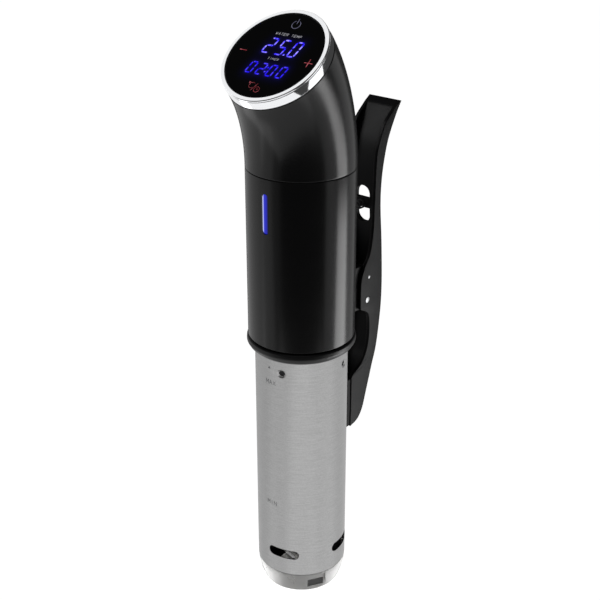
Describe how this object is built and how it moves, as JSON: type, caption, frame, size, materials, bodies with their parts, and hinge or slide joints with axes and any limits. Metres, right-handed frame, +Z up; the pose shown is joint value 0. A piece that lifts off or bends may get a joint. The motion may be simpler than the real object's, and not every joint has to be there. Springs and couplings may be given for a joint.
{
  "type": "sous vide circulator",
  "caption": "Immersion circulator with a tilted round touch display, a steel sleeve over a heater and impeller, and a spring clamp for a pot wall.",
  "frame": {"origin": "centre of the end cap's bottom face", "axes": "+Z up along the column, -Y is the front with the display and light bar, +Y is the clamp side, +X is the right-hand side seen from the back"},
  "size_m": [0.0668, 0.1315, 0.3708],
  "materials": {
    "clear_cap": "clear moulded polycarbonate",
    "brushed_sleeve": "fine brushing round the tube",
    "plain_steel": "drawn and ground",
    "heater_steel": "annealed, slightly darkened tube",
    "screw_steel": "zinc plated",
    "pin_steel": "turned",
    "spring_steel": "drawn wire",
    "bezel_chrome": "mirror plated",
    "bare_aluminium": "extruded",
    "bronze": "sintered",
    "brass_fittings": "turned",
    "copper_windings": "varnished windings on a steel core",
    "magnet": "ferrite",
    "housing_plastic": "soft satin black moulding",
    "clamp_plastic": "satin charcoal moulding",
    "clamp_plastic_dark": "satin black moulding",
    "inner_plastic": "glass-filled moulding",
    "impeller_plastic": "moulded acetal",
    "circuit_board": "solder mask over glass cloth",
    "transformer_core": "taped windings",
    "capacitor_sleeve": "heat-shrunk sleeve",
    "relay_case": "moulded case",
    "digit_module": "moulded reflector block",
    "lit_blue": "lit diffusing lens",
    "display_black": "black-backed touch panel with lit marks",
    "ceramic_white": "unglazed",
    "seal_rubber": "moulded",
    "pad_rubber": "ribbed grip",
    "gland_rubber": "moulded strain relief"
  },
  "bodies": {
    "housing": {"sleeve_mount": "inner_plastic", "collar": "housing_plastic", "heater_flange": "plain_steel", "flange_seal": "seal_rubber", "heater_element": "heater_steel", "temperature_probe": "plain_steel", "level_electrodes": "plain_steel", "electrode_insulators": "ceramic_white", "shaft_tube": "plain_steel", "shaft_bushes": "bronze", "shaft_support": "inner_plastic", "shaft_seal": "seal_rubber", "base_screws": "screw_steel", "motor_mount": "inner_plastic", "motor_screws": "screw_steel", "motor_can": "screw_steel", "motor_end_cap": "inner_plastic", "motor_bearings": "bronze", "motor_magnets": "magnet", "housing_barrel": "housing_plastic", "seam_gasket": "seal_rubber", "head_shell": "housing_plastic", "main_board": "circuit_board", "transformer": "transformer_core", "capacitors": "capacitor_sleeve", "relay": "relay_case", "heat_sink": "bare_aluminium", "light_bar_lens": "lit_blue", "light_bar_board": "circuit_board", "chrome_bezel": "bezel_chrome", "display_glass": "display_black", "display_carrier": "inner_plastic", "display_board": "circuit_board", "temperature_digits": "digit_module", "timer_digits": "digit_module", "touch_springs": "screw_steel", "buzzer": "inner_plastic", "cable_gland": "gland_rubber", "gland_nut": "inner_plastic", "clamp_bracket": "clamp_plastic_dark", "bracket_screws": "screw_steel", "bracket_nut_plate": "screw_steel", "pivot_pin": "pin_steel", "spring_seat": "clamp_plastic_dark", "clamp_spring": "spring_steel"},
    "drive": {"motor_rotor": "copper_windings", "shaft_coupling": "brass_fittings", "drive_shaft": "plain_steel", "impeller": "impeller_plastic"},
    "sleeve": {"sleeve": "brushed_sleeve"},
    "cap": {"end_cap": "clear_cap"},
    "lever": {"clamp_lever": "clamp_plastic", "stop_pin": "pin_steel", "jaw_pad": "pad_rubber"}
  },
  "joints": [
    {"name": "pump_spin", "type": "hinge", "parent": "housing", "child": "drive", "pos_m": [0, 0, 0.1], "axis": [0, 0, 1], "continuous": true},
    {"name": "sleeve_twist", "type": "hinge", "parent": "housing", "child": "sleeve", "pos_m": [0, 0, 0.161], "axis": [0, 0, 1], "range_deg": [0, 20]},
    {"name": "cap_twist", "type": "hinge", "parent": "sleeve", "child": "cap", "pos_m": [0, 0, 0.0149], "axis": [0, 0, 1], "range_deg": [0, 30]},
    {"name": "clamp_hinge", "type": "hinge", "parent": "housing", "child": "lever", "pos_m": [0, 0.0525, 0.1825], "axis": [1, 0, 0], "range_deg": [0, 15], "stiffness_Nm_per_rad": 2.2, "springref_deg": -20.05, "deforming": ["clamp_spring"]}
  ]
}
